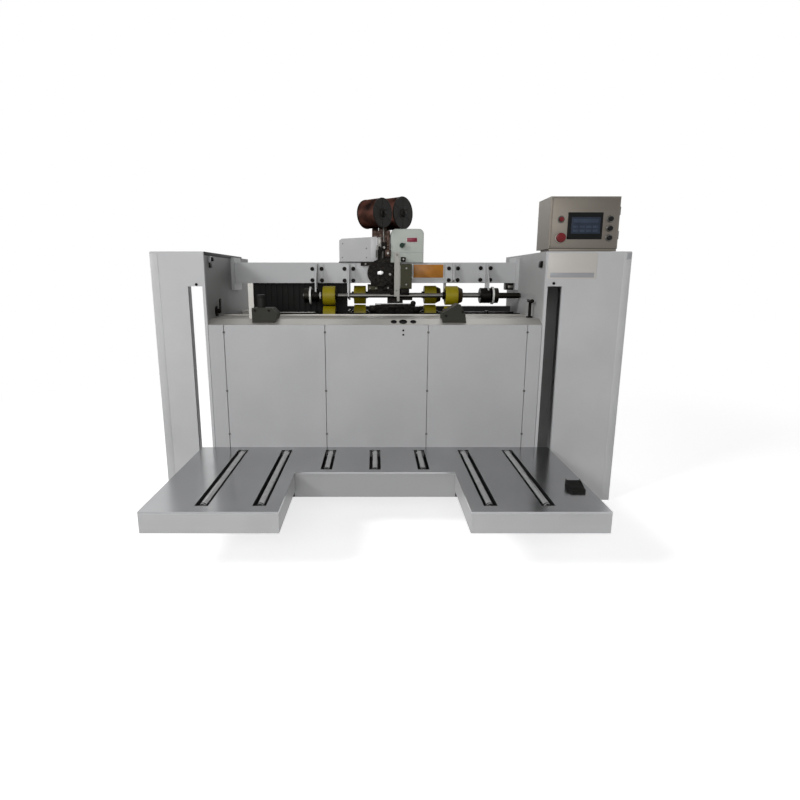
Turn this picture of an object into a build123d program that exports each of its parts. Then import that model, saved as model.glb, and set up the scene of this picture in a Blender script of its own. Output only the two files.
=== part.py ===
import os
from math import atan2, cos, degrees, radians, sin

from build123d import *

# Carton box stitcher, in millimetres: X to the right, Y to the rear, Z up.
# It is drawn about the table's centre line (X = 0) and the front sheet (Y = 0),
# and each piece is moved at the end so that the origin is the middle of its floor area.

# Overall
left_side = -1331.0
right_side = 1517.0
table_front = -878.0
machine_rear = 1122.0

# Columns
column_top = 1570.0
sheet = 16.0
corner_radius = 8.0
wall_face = 1014.0
slot_inner = 1031.0
slot_outer = 1117.0
slot_bottom = 330.0
slot_top = 1367.0
left_column_depth = 590.0
right_column_depth = 800.0
left_wall_steps = ((845.0, 1560.0), (1041.0, 1536.0))
right_wall_steps = ((920.0, 1528.0),)
outfeed_notch_front = 856.0
outfeed_notch_top = 1400.0
cabinet_x = (1048.0, 1241.0)
cabinet_y = (400.0, 780.0)
cabinet_z = (60.0, 1450.0)

# Closed body under the deck
plinth_recess = 45.0
plinth_top = 80.0
housing_top = 1060.0
panel_top = 1138.0
panel_seams = (-919.0, -304.0, 324.0, 927.0)
panel_gap = 3.0
panel_depth = 20.0
panel_chamfer = 2.0
deck_top = 1168.0
lip_run = 60.0
front_deck_rear = 350.0
deck_strip = 8.0
rear_deck_front = 800.0
rear_deck_radius = 8.0
lip_holes = ((115.0, 19.0), (172.0, 25.0), (234.0, 19.0))

# Cross beam, its end flanges and the plates that hang from it
beam_front = 567.0
beam_rear = 717.0
beam_bottom = 1380.0
beam_top = 1522.0
flange_sheet = 24.0
flange_proud = 14.0
flange_z = (1331.0, 1556.0)
hanger_x = (-409.0, -183.0, 550.0, 782.0)
hanger_plate = 10.0
hanger_half_width = 42.0
hanger_bolt_zone = (1386.0, 1512.0)
web_front = 454.0
web_knee = 1392.0
web_bottom = 1290.0
short_web_front = 510.0
rear_hanger_x = (-185.0, 506.0)
rear_hanger_bottom = 1258.0
housings = ((-436.0, -392.0, 45.0), (-189.0, -177.0, 24.0), (728.0, 802.0, 52.0))
housing_chamfer = 3.0

# Under the beam and on the deck
cover_x = (-881.0, -199.0)
cover_ribs = 17
cover_y = (606.0, 616.0, 628.0)
cover_bottom = 1156.0
crossbar_front = 735.0
crossbar_z = (1150.0, 1206.0)
amber_x = (257.0, 486.0)
amber_z = (1410.0, 1512.0)
amber_sheet = 8.0
guide_y = (20.0, 140.0)
left_guide = ((-748.0, 1138.0), (-748.0, 1237.0), (-626.0, 1237.0), (-594.0, 1201.0),
              (-616.0, 1138.0))
right_guide = ((412.0, 1138.0), (412.0, 1207.0), (504.0, 1262.0), (519.0, 1258.0),
               (549.0, 1202.0), (558.0, 1138.0))
clamp_knob = (-701.0, 78.0, 24.0, 1297.0)
post_x = (-784.0, -752.0)
post_y = (96.0, 108.0)
post_top = 1384.0
post_foot = (136.0, 12.0)

# Feed shafts and wheels
wheel_radius = 65.0
wheel_round = 4.0
hub_radius = 48.0
hub_half_width = 40.0
wheel_width = 86.0
shaft_radius = 15.0
shaft_clearance = 2.0
upper_shaft_z = 1295.0
lower_shaft_z = 1159.0
front_shaft_y = 490.0
rear_shaft_y = 650.0
shaft_end = 1040.0
upper_front_start = -500.0
lower_front_start = -440.0
rear_start = -210.0
front_wheels_x = (-317.0, 530.0)
rear_wheels_x = (-109.0, 399.0)
pedestal_half = (7.0, 34.0)
pedestal_above_shaft = 30.0

# The tapered shoulder of the right wheels on the upper shafts
shoulder_length = 32.0
shoulder_radii = (62.0, 46.0)

# Drums, light discs, collar and coupling on the upper front shaft: start, end and radius
upper_front_discs = ((-490.0, -453.0, 52.0), (-453.0, -441.0, 60.0), (-386.0, -361.0, 24.0),
                     (810.0, 822.0, 60.0), (822.0, 853.0, 52.0), (862.0, 1006.0, 20.0))

# Stitching head
head_right = 174.0
head_front = 542.0
slide_plate = ((-52.0, 140.0), (1304.0, 1372.0))
head_ear = ((-100.0, -30.0), 1500.0)
head_neck = ((20.0, 110.0), 620.0, 1607.0)
stitch_arm = ((88.0, 196.0), (520.0, 590.0), (1240.0, 1340.0))
side_plate_right = 252.0
side_plate_z = (1341.0, 1509.0)
side_plate_round = 10.0
bar_x = (132.0, 168.0)
bar_y = (440.0, 468.0)
bar_z = (1290.0, 1586.0)
driver_tip = ((150.0, 168.0), 430.0, (1258.0, 1330.0))
bar_lug = ((444.0, 464.0), (1360.0, 1500.0))
casing_outline = ((-250.0, 1522.0), (12.0, 1522.0), (12.0, 1697.0), (-232.0, 1684.0),
                  (-250.0, 1672.0))
casing_y = (560.0, 760.0)
casing_round = 6.0
cover_box_x = (110.0, 338.0)
cover_box_y = (540.0, 770.0)
cover_top = 1749.0
cover_corner = 34.0
cover_rim = 6.0
anvil_x = (0.0, 281.0)
anvil_y = (478.0, 668.0)
anvil_z = (1206.0, 1232.0)
anvil_block_inset = (12.0, 36.0)
flywheel_x = 38.0
flywheel_z = 1450.0
flywheel_radius = 91.0
flywheel_y = (496.0, 532.0)
flywheel_rim = 16.0
flywheel_recess = 10.0
flywheel_hub = (24.0, 8.0)

# Wire reels side by side on one carrier plate, each on its own axle.
# A reel's place is the middle of its front face, and its axle points there from the plate.
reel_turn = -41.0
reel_width = 150.0
left_reel = (54.0, 500.0, 1850.0)
left_reel_radius = 98.0
right_reel = (200.0, 662.0, 1868.0)
right_reel_radius = 112.0
reel_flange = 4.0
wire_below_rim = 3.0
axle_radius = 12.0
axle_clearance = 1.5
axle_past_plate = 10.0
axle_past_hub = 14.0
hub_disc = (30.0, 6.0)
carrier_gap = 8.0
carrier_sheet = 12.0
carrier_half_height = 35.0
carrier_past_axle = 34.0
stem_half_width = 28.0
stem_arm = 86.0
stand_x = (28.0, 106.0)
stand_y = (622.0, 700.0)
stand_top = 1716.0
bracket_front = 604.0
upper_bracket = ((-20.0, 108.0), (1700.0, 1742.0))
lower_bracket = ((16.0, 104.0), (1610.0, 1700.0))

# Table
table_half = 1096.0
table_top_z = 360.0
table_sheet = 8.0
skirt_sheet = 4.0
skirt_bottom = 252.0
cutout_skirt_bottom = 214.0
cutout_half = 445.0
cutout_back = -409.0
tube = 50.0
tube_above_skirt = 6.0
rear_tube_front = -86.0
front_tube_front = -400.0
roller_pitch = 274.0
roller_radius = 19.0
roller_proud = 4.0
roller_end_gap = 12.0
journal_radius = 5.0
journal_length = 20.0
bracket_half_width = 18.0
bracket_depth = 14.0
bracket_height = 24.0
slot_width = 65.0
slot_rear = -52.0
long_slot_front = -817.0
short_slot_front = -369.0
leg_y = -375.0
leg_x = (-1040.0, -610.0, 610.0, 1040.0)
leg_screw = (10.0, 72.0)
leg_pad = (38.0, 12.0)

# Control box
box_left = 1020.0
box_right = 1426.0
box_bottom = 1585.0
box_top = 1880.0
box_depth = 220.0
box_chamfer = 6.0
box_foot_inset = 20.0
bezel_x = (1123.0, 1326.0)
bezel_z = (1639.0, 1790.0)
bezel_proud = 8.0
screen_x = (1142.0, 1313.0)
screen_z = (1669.0, 1765.0)
screen_recess = 2.0
button_radii = (18.0, 13.0)
button_steps = (5.0, 14.0)
button_places = ((1083.0, 1751.0), (1371.0, 1754.0), (1371.0, 1700.0), (1371.0, 1647.0))
stop_place = (1083.0, 1647.0)
stop_collar = (21.0, 7.0)
stop_bore = 12.0
stop_stem = 10.0
stop_head = (27.0, 14.0, 30.0)

# Foot switch on the table
switch_x = (982.0, 1058.0)
switch_y = (-676.0, -586.0)
switch_base = 14.0
pedal_inset = 6.0
pedal_rise = (11.0, 16.0, 32.0)
relief = (6.0, 1000.0, 30.0)


def block(x0, x1, y0, y1, z0, z1):
    return Pos((x0 + x1) / 2, (y0 + y1) / 2, (z0 + z1) / 2) * Box(x1 - x0, y1 - y0, z1 - z0)


def rod_x(radius, x0, x1, y, z):
    return Pos((x0 + x1) / 2, y, z) * Rot(0, 90, 0) * Cylinder(radius, x1 - x0)


def rod_y(radius, x, y0, y1, z):
    return Pos(x, (y0 + y1) / 2, z) * Rot(90, 0, 0) * Cylinder(radius, y1 - y0)


def rod_z(radius, x, y, z0, z1):
    return Pos(x, y, (z0 + z1) / 2) * Cylinder(radius, z1 - z0)


def side_profile(points, x0, x1):
    """Extrude an outline of (y, z) points along X."""
    outline = make_face(Polyline(*[(x0, y, z) for y, z in points], close=True))
    return extrude(outline, amount=x1 - x0, dir=(1, 0, 0))


def front_profile(points, y0, y1):
    """Extrude an outline of (x, z) points along Y."""
    outline = make_face(Polyline(*[(x, y0, z) for x, z in points], close=True))
    return extrude(outline, amount=y1 - y0, dir=(0, 1, 0))


def plan_profile(points, z0, z1):
    """Extrude an outline of (x, y) points upwards."""
    outline = make_face(Polyline(*[(x, y, z0) for x, y in points], close=True))
    return extrude(outline, amount=z1 - z0, dir=(0, 0, 1))


def group(solids):
    return Compound(list(solids))


# Columns

def front_plate(outer_x, side):
    """Front sheet of a column with its tall slot; side is -1 left, 1 right."""
    x0, x1 = sorted((side * wall_face, outer_x))
    plate = block(x0, x1, 0, sheet, 0, column_top)
    corner = plate.edges().filter_by(Axis.Y).sort_by(Axis.Z)[-2:]
    plate = fillet(corner, corner_radius)
    s0, s1 = sorted((side * slot_inner, side * slot_outer))
    return plate - block(s0, s1, -1, sheet + 1, slot_bottom, slot_top)


def inner_wall(side, steps):
    """Wall beside the deck: its top steps down at each (y, z), and the right one has a notch."""
    outline = [(sheet, 0), (sheet, column_top)]
    height = column_top
    for y, z in steps:
        outline += [(y, height), (y, z)]
        height = z
    outline += [(machine_rear, height)]
    if side > 0:
        outline += [(machine_rear, outfeed_notch_top), (outfeed_notch_front, outfeed_notch_top),
                    (outfeed_notch_front, deck_top), (machine_rear, deck_top)]
    outline += [(machine_rear, 0)]
    x0, x1 = sorted((side * wall_face, side * (wall_face + sheet)))
    wall = side_profile(outline, x0, x1)
    if side > 0:
        for y in (front_shaft_y, rear_shaft_y):
            for z in (upper_shaft_z, lower_shaft_z):
                wall -= rod_x(shaft_radius + shaft_clearance, x0 - 1, x1 + 1, y, z)
    return wall


def outer_wall(outer_x, depth):
    x0, x1 = sorted((outer_x, outer_x - (sheet if outer_x > 0 else -sheet)))
    return block(x0, x1, sheet, depth, 0, column_top)


def top_cover(outer_x, depth):
    """Lid between a column's two walls."""
    side = 1 if outer_x > 0 else -1
    x0, x1 = sorted((side * (wall_face + sheet), outer_x - side * sheet))
    return block(x0, x1, sheet, depth, column_top - sheet, column_top)


# Closed body

def front_panels():
    edges = (-wall_face, *panel_seams, wall_face)
    panels = []
    for x0, x1 in zip(edges, edges[1:]):
        panel = block(x0 + panel_gap / 2, x1 - panel_gap / 2, 0, panel_depth, plinth_top, panel_top)
        panels.append(chamfer(panel.faces().sort_by(Axis.Y)[0].edges(), panel_chamfer))
    return group(panels)


def rear_panels():
    third = 2 * wall_face / 3
    panels = []
    for i in range(3):
        x0 = -wall_face + i * third
        panel = block(x0 + panel_gap / 2, x0 + third - panel_gap / 2,
                      machine_rear - panel_depth, machine_rear, plinth_top, panel_top)
        panels.append(chamfer(panel.faces().sort_by(Axis.Y)[-1].edges(), panel_chamfer))
    return group(panels)


def front_deck():
    """Infeed deck with a sloping front lip and three round sensor holes in the lip."""
    outline = [
        (0, panel_top), (lip_run, deck_top), (front_deck_rear, deck_top),
        (front_deck_rear, housing_top), (panel_depth, housing_top), (panel_depth, panel_top),
    ]
    deck = side_profile(outline, -wall_face, wall_face)
    slope = degrees(atan2(deck_top - panel_top, lip_run))
    drill = panel_depth + 4
    for x, radius in lip_holes:
        centre = Pos(x, lip_run / 2, (panel_top + deck_top) / 2)
        deck -= centre * Rot(slope, 0, 0) * Cylinder(radius, drill)
    return deck


def rear_deck():
    """Outfeed deck with a rounded rear edge."""
    deck = block(-wall_face, wall_face, rear_deck_front, machine_rear - panel_depth,
                 housing_top, deck_top)
    return fillet(deck.edges().filter_by(Axis.X).group_by(Axis.Z)[-1], rear_deck_radius)


# Cross beam and what hangs from it

def cross_beam():
    """Square tube between the inner walls, with a taller flange at each end."""
    beam = block(-wall_face, wall_face, beam_front, beam_rear, beam_bottom, beam_top)
    for side in (-1, 1):
        x0, x1 = sorted((side * wall_face, side * (wall_face - flange_sheet)))
        beam += block(x0, x1, beam_front - flange_proud, beam_rear + flange_proud, *flange_z)
    return beam


def shaft_hangers():
    """Plates bolted to the beam: four in front, two below for the rear shaft."""
    hangers = []
    z0, z1 = hanger_bolt_zone
    plate_face = beam_front - hanger_plate
    half_web = hanger_plate / 2
    top = [(plate_face + 1, z1), (plate_face - 30, z1)]
    web_rear = 2 * front_shaft_y - web_front
    long_web = top + [(web_front, web_knee), (web_front, web_bottom), (web_rear, web_bottom),
                      (plate_face + 1, web_bottom + 50)]
    short_web = top + [(short_web_front, web_knee + 10), (plate_face + 1, z0)]
    for x, web in zip(hanger_x, (long_web, long_web, short_web, long_web)):
        hanger = block(x - hanger_half_width, x + hanger_half_width, plate_face, beam_front, z0, z1)
        hanger += side_profile(web, x - half_web, x + half_web)
        for x0, x1, radius in housings:
            hanger -= rod_x(radius, x0, x1, front_shaft_y, upper_shaft_z)
        hangers.append(hanger)
    rear_half = shaft_radius + shaft_clearance + half_web * 3
    for x in rear_hanger_x:
        plate = block(x - half_web - 1, x + half_web + 1, rear_shaft_y - rear_half,
                      rear_shaft_y + rear_half, rear_hanger_bottom, beam_bottom)
        hangers.append(plate - rod_x(shaft_radius + shaft_clearance, x - hanger_plate,
                                     x + hanger_plate, rear_shaft_y, upper_shaft_z))
    return group(hangers)


def bearing_housings():
    """Round housings on three of the front hangers, around the upper front shaft."""
    bore = shaft_radius + shaft_clearance
    rings = []
    for x0, x1, radius in housings:
        ring = rod_x(radius, x0, x1, front_shaft_y, upper_shaft_z)
        ring = chamfer(ring.edges().filter_by(GeomType.CIRCLE), housing_chamfer)
        rings.append(ring - rod_x(bore, x0 - 1, x1 + 1, front_shaft_y, upper_shaft_z))
    return group(rings)


def shaft_pedestals():
    """Bearing plates that stand in the trough and carry the lower shafts."""
    plates = []
    half_x, half_y = pedestal_half
    top = lower_shaft_z + pedestal_above_shaft
    front_places = (hanger_x[0], hanger_x[1], hanger_x[3])
    for y, places in ((front_shaft_y, front_places), (rear_shaft_y, rear_hanger_x)):
        for x in places:
            plate = block(x - half_x, x + half_x, y - half_y, y + half_y, housing_top, top)
            plates.append(plate - rod_x(shaft_radius + shaft_clearance, x - half_x - 1,
                                        x + half_x + 1, y, lower_shaft_z))
    return group(plates)


def ribbed_cover():
    """Black bellows panel under the beam at the left: one outline with square ribs."""
    x0, x1 = cover_x
    face, floor, rear = cover_y
    pitch = (x1 - x0) / cover_ribs
    points = [(x1, rear), (x0, rear)]
    for i in range(cover_ribs):
        start = x0 + i * pitch
        rib_end = start + pitch * 0.3
        points += [(start, face), (rib_end, face), (rib_end, floor), (start + pitch, floor)]
    return plan_profile(points, cover_bottom, beam_bottom)


def guide_block(outline):
    """Block cut to an (x, z) outline, with a foot that follows the lip."""
    front, rear = guide_y
    top = max(z for x, z in outline)
    rise = front * (deck_top - panel_top) / lip_run
    foot = [(front, panel_top + rise), (lip_run, deck_top), (rear, deck_top), (rear, top),
            (front, top)]
    x_places = [x for x, z in outline]
    return side_profile(foot, min(x_places), max(x_places)) & front_profile(outline, front, rear)


def side_guides():
    """Two guide blocks on the infeed lip; the left one has a round clamping knob on it."""
    x, y, radius, top = clamp_knob
    left = guide_block(left_guide) + rod_z(radius, x, y, left_guide[1][1] - 1, top)
    return group([left, guide_block(right_guide)])


def guide_post():
    """Flat upright beside the left guide block, with a short foot towards the block."""
    foot_rear, foot_height = post_foot
    post = block(*post_x, *post_y, deck_top, post_top)
    return post + block(*post_x, post_y[0], foot_rear, deck_top, deck_top + foot_height)


# Feed shafts

def feed_shaft(y, z, x0, wheels_x, discs):
    """Turned shaft with a black hub under each wheel and plain discs (x0, x1, radius)."""
    shaft = rod_x(shaft_radius, x0, shaft_end, y, z)
    for x in wheels_x:
        shaft += rod_x(hub_radius, x - hub_half_width, x + hub_half_width, y, z)
    for d0, d1, radius in discs:
        shaft += rod_x(radius, d0, d1, y, z)
    return shaft


def feed_wheels(y, z, wheels_x, shoulders=False):
    """Yellow tyres that sit on the hubs; shoulders adds a taper to the right wheel."""
    tyres = []
    half = wheel_width / 2
    for x in wheels_x:
        tyre = rod_x(wheel_radius, x - half, x + half, y, z)
        tyre = fillet(tyre.edges().filter_by(GeomType.CIRCLE), wheel_round)
        tyre -= rod_x(hub_radius, x - half - 1, x + half + 1, y, z)
        if shoulders and x > 0:
            start = x + half
            taper = Pos(start + shoulder_length / 2 - 1, y, z) * Rot(0, 90, 0) * Cone(
                shoulder_radii[0], shoulder_radii[1], shoulder_length + 2)
            tyre += taper - rod_x(shaft_radius, start - 2, start + shoulder_length + 2, y, z)
        tyres.append(tyre)
    return group(tyres)


# Stitching head

def head_casing():
    """Motor casing on the beam, its top falling a little to the left."""
    casing = front_profile(casing_outline, *casing_y)
    return fillet(casing.edges().filter_by(Axis.Z), casing_round)


def head_cover():
    """Cover at the right of the head, its front corners rounded at the top."""
    cover = block(*cover_box_x, *cover_box_y, beam_top, cover_top)
    cover = fillet(cover.edges().filter_by(Axis.Y).group_by(Axis.Z)[-1], cover_corner)
    front_rim = cover.faces().sort_by(Axis.Y)[0].edges().sort_by(Axis.Z)[1:]
    return fillet(front_rim, cover_rim)


def head_body():
    """Black casting in front of the beam: a body, its slide plate, neck and stitching arm."""
    slide_x, slide_z = slide_plate
    ear_x, ear_bottom = head_ear
    neck_x, neck_rear, neck_top = head_neck
    arm_x, arm_y, arm_z = stitch_arm
    body = block(ear_x[1], head_right, head_front, beam_front, slide_z[1], beam_top)
    body += block(*slide_x, head_front + 3, beam_front, *slide_z)
    body += block(*ear_x, head_front + 3, beam_front, ear_bottom, beam_top)
    body += block(*neck_x, head_front + 3, neck_rear, beam_top, neck_top)
    return body + block(*arm_x, *arm_y, *arm_z)


def head_side_plate():
    """Deep plate at the right of the head that carries the front bar."""
    plate = block(head_right, side_plate_right, bar_y[0], beam_front, *side_plate_z)
    return fillet(plate.edges().filter_by(Axis.X).group_by(Axis.Y)[0], side_plate_round)


def front_bar():
    """Upright bar in front of the head, with a narrow driver tip and a lug to the plate."""
    tip_x, tip_front, tip_z = driver_tip
    lug_y, lug_z = bar_lug
    bar = block(*bar_x, *bar_y, *bar_z)
    bar += block(*tip_x, tip_front, bar_y[0] + 1, *tip_z)
    return bar + block(bar_x[1] - 1, head_right, *lug_y, *lug_z)


def clincher():
    """Lower anvil: a block between the lower shafts with a flat anvil plate."""
    inset_x, inset_y = anvil_block_inset
    base = block(anvil_x[0] + inset_x, anvil_x[1] - inset_x, anvil_y[0] + inset_y,
                 anvil_y[1] - inset_y, housing_top, anvil_z[0] + 1)
    return base + block(*anvil_x, *anvil_y, *anvil_z)


def flywheel():
    """Drive pulley with a rim, a thinner web and a hub."""
    front, rear = flywheel_y
    hub, hub_proud = flywheel_hub
    wheel = rod_y(flywheel_radius, flywheel_x, front, rear, flywheel_z)
    wheel -= rod_y(flywheel_radius - flywheel_rim, flywheel_x, front - 1,
                   front + flywheel_recess, flywheel_z)
    return wheel + rod_y(hub, flywheel_x, front - hub_proud, rear, flywheel_z)


# Wire reels

def on_axle(place):
    """Frame with its X along the axle, its origin in the middle of a reel's front face."""
    return Pos(*place) * Rot(0, 0, reel_turn)


def reel(place, radius):
    """Full spool on its axle: two thin flanges, the wound wire between them and its hubs."""
    hub_r, hub_t = hub_disc
    tail = reel_width + carrier_gap + carrier_sheet + axle_past_plate
    spool = rod_x(radius - wire_below_rim, -reel_width, 0, 0, 0)
    spool += rod_x(radius, -reel_flange, 0, 0, 0)
    spool += rod_x(radius, -reel_width, reel_flange - reel_width, 0, 0)
    spool += rod_x(hub_r, -reel_width - hub_t, hub_t, 0, 0)
    spool += rod_x(axle_radius, -tail, hub_t + axle_past_hub, 0, 0)
    return on_axle(place) * spool


def reel_carrier():
    """Plate behind the reels with both axle bores, its stem and the arm to the post."""
    plate_front = -reel_width - carrier_gap
    plate_rear = plate_front - carrier_sheet
    turn = radians(reel_turn)
    lx, ly, lz = left_reel
    rx, ry, rz = right_reel
    across = -(rx - lx) * sin(turn) + (ry - ly) * cos(turn)
    high, past = carrier_half_height, carrier_past_axle
    outline = [(-past, lz - high), (across + past, rz - high), (across + past, rz + high),
               (-past, lz + high)]
    stem = (across / 2 - stem_half_width, across / 2 + stem_half_width)
    carrier = side_profile(outline, plate_rear, plate_front)
    carrier += block(plate_rear, plate_front, *stem, stand_top - 16, (lz + rz) / 2)
    carrier += block(plate_rear, plate_rear + stem_arm, *stem, stand_top - 16, stand_top + 6)
    for y, z in ((0, lz), (across, rz)):
        carrier -= rod_x(axle_radius + axle_clearance, plate_rear - 1, plate_front + 1, y, z)
    return Pos(lx, ly, 0) * Rot(0, 0, reel_turn) * carrier


def reel_stand():
    """Post on the beam, its bracket plates in front and the carrier plate on it."""
    stand = block(*stand_x, *stand_y, beam_top, stand_top)
    for x_range, z_range in (upper_bracket, lower_bracket):
        stand += block(*x_range, bracket_front, stand_y[0] + 1, *z_range)
    return stand + reel_carrier()


# Table

roller_places = [(i * roller_pitch, abs(i) < 2) for i in range(-3, 4)]


def slot_front(short):
    return short_slot_front if short else long_slot_front


def table_top():
    """Polished top in three sheets, one to each lobe and one between, with the roller slots."""
    sheets = []
    edges = (-table_half, -cutout_half, cutout_half, table_half)
    for x0, x1 in zip(edges, edges[1:]):
        front = cutout_back if x1 == cutout_half else table_front
        top = block(x0, x1, front, 0, table_top_z - table_sheet, table_top_z)
        for x, short in roller_places:
            if x0 < x < x1:
                top -= block(x - slot_width / 2, x + slot_width / 2, slot_front(short), slot_rear,
                             table_top_z - table_sheet - 1, table_top_z + 1)
        sheets.append(top)
    return group(sheets)


def table_skirt():
    """Flat plates under the edge of the top, all round the U shape, deeper behind the operator."""
    z0, z1 = skirt_bottom, table_top_z - table_sheet
    thick = skirt_sheet
    inner_front = table_front + thick
    plates = [
        block(-cutout_half - thick, cutout_half + thick, cutout_back, cutout_back + thick,
              cutout_skirt_bottom, z1),
        block(thick - table_half, table_half - thick, -thick, 0, z0, z1)]
    for side in (-1, 1):
        for x, y0, y1, inside in ((table_half, inner_front, 0, -thick),
                                  (cutout_half, inner_front, cutout_back, thick)):
            x0, x1 = sorted((side * x, side * (x + inside)))
            plates.append(block(x0, x1, y0, y1, z0, z1))
        x0, x1 = sorted((side * table_half, side * cutout_half))
        plates.append(block(x0, x1, table_front, inner_front, z0, z1))
    return group(plates)


def table_frame():
    """Square tubes under the table: two across and one forward in each lobe."""
    z0 = skirt_bottom + tube_above_skirt
    z1 = z0 + tube
    side = table_half - skirt_sheet - 2
    under_top = table_top_z - table_sheet
    rear_end = rear_tube_front + tube
    frame = block(-side, side, rear_tube_front, rear_end, z0, z1)
    frame += block(-side, side, front_tube_front, front_tube_front + tube, z0, z1)
    for x in (-2.5 * roller_pitch, 2.5 * roller_pitch):
        x0, x1, front = x - tube / 2, x + tube / 2, table_front + 2 * skirt_sheet
        frame += block(x0, x1, front, rear_end, z0, z1)
        frame += block(x0, x1, front, rear_end, z1, under_top)
    for x in (-0.5 * roller_pitch, 0.5 * roller_pitch):
        frame += block(x - tube / 2, x + tube / 2, front_tube_front, rear_end, z1, under_top)
    return frame


def table_legs():
    """Four levelling legs, each a tube with a threaded foot and a round pad."""
    legs = []
    half = tube / 2
    screw_radius, screw_top = leg_screw
    pad_radius, pad_top = leg_pad
    for x in leg_x:
        leg = block(x - half, x + half, leg_y - half, leg_y + half, screw_top - 2,
                    skirt_bottom + tube_above_skirt)
        leg += rod_z(screw_radius, x, leg_y, pad_top - 2, screw_top)
        leg += rod_z(pad_radius, x, leg_y, 0, pad_top)
        legs.append(leg)
    return group(legs)


def roller_axis():
    return table_top_z + roller_proud - roller_radius


def roller(x, short):
    y0, y1 = slot_front(short) + roller_end_gap, slot_rear - roller_end_gap
    body = rod_y(roller_radius, x, y0, y1, roller_axis())
    return body + rod_y(journal_radius, x, y0 - journal_length, y1 + journal_length, roller_axis())


def roller_brackets():
    """A small bearing block under the sheet at each end of each roller."""
    blocks = []
    z1 = table_top_z - table_sheet
    half = bracket_half_width
    for x, short in roller_places:
        for y, out in ((slot_front(short), -1), (slot_rear, 1)):
            y0, y1 = sorted((y, y + out * bracket_depth))
            bearing = block(x - half, x + half, y0, y1, z1 - bracket_height, z1)
            blocks.append(bearing - rod_y(journal_radius + 0.5, x, y0 - 1, y1 + 1, roller_axis()))
    return group(blocks)


# Control box

def control_box():
    """Sheet box on a low foot, with chamfered edges at its front."""
    inset = box_foot_inset
    box = block(box_left, box_right, 0, box_depth, box_bottom, box_top)
    box = chamfer(box.faces().sort_by(Axis.Y)[0].edges(), box_chamfer)
    box += block(box_left + inset, box_right - inset, inset + 4, box_depth - inset,
                 column_top, box_bottom)
    return box - rod_y(stop_bore, stop_place[0], -1, 2 * inset, stop_place[1])


def touch_screen():
    """Raised bezel with a shallow recess for the glass."""
    bezel = block(*bezel_x, -bezel_proud, 0, *bezel_z)
    bezel = chamfer(bezel.faces().sort_by(Axis.Y)[0].edges(), 3)
    return bezel - block(*screen_x, -bezel_proud - 1, screen_recess - bezel_proud, *screen_z)


def push_buttons():
    """A start button at the left, three buttons in a row at the right and the stop's collar."""
    buttons = []
    ring, cap = button_radii
    ring_front, cap_front = button_steps
    for x, z in button_places:
        buttons.append(rod_y(ring, x, -ring_front, 0, z) + rod_y(cap, x, -cap_front, -ring_front, z))
    x, z = stop_place
    radius, proud = stop_collar
    buttons.append(rod_y(radius, x, -proud, 0, z) - rod_y(stop_bore, x, -proud - 1, 1, z))
    return group(buttons)


def stop_button():
    """Mushroom head and its stem, which slides in the box."""
    x, z = stop_place
    radius, rear, front = stop_head
    head = rod_y(radius, x, -front, -rear, z)
    head = fillet(head.edges().filter_by(GeomType.CIRCLE).sort_by(Axis.Y)[0], 7)
    return head + rod_y(stop_stem, x, -rear - 2, box_foot_inset, z)


def foot_switch():
    """Foot switch that lies on the table: a base, a tilted pedal and a strain relief."""
    x0, x1 = switch_x
    y0, y1 = switch_y
    base = block(x0, x1, y0, y1, table_top_z, table_top_z + switch_base)
    base = fillet(base.edges().filter_by(Axis.Z), 8)
    toe, front, heel = (table_top_z + rise for rise in pedal_rise)
    front_y, heel_y = y0 + pedal_inset, y1 - pedal_inset + 2
    pedal = [(front_y, front), (heel_y - 6, heel), (heel_y, heel), (heel_y, toe + 2), (front_y, toe)]
    radius, relief_x, length = relief
    tail = rod_y(radius, relief_x, y1 - 4, y1 - 4 + length, table_top_z + 8)
    return base + side_profile(pedal, x0 + pedal_inset, x1 - pedal_inset) + tail


# All pieces

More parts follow.
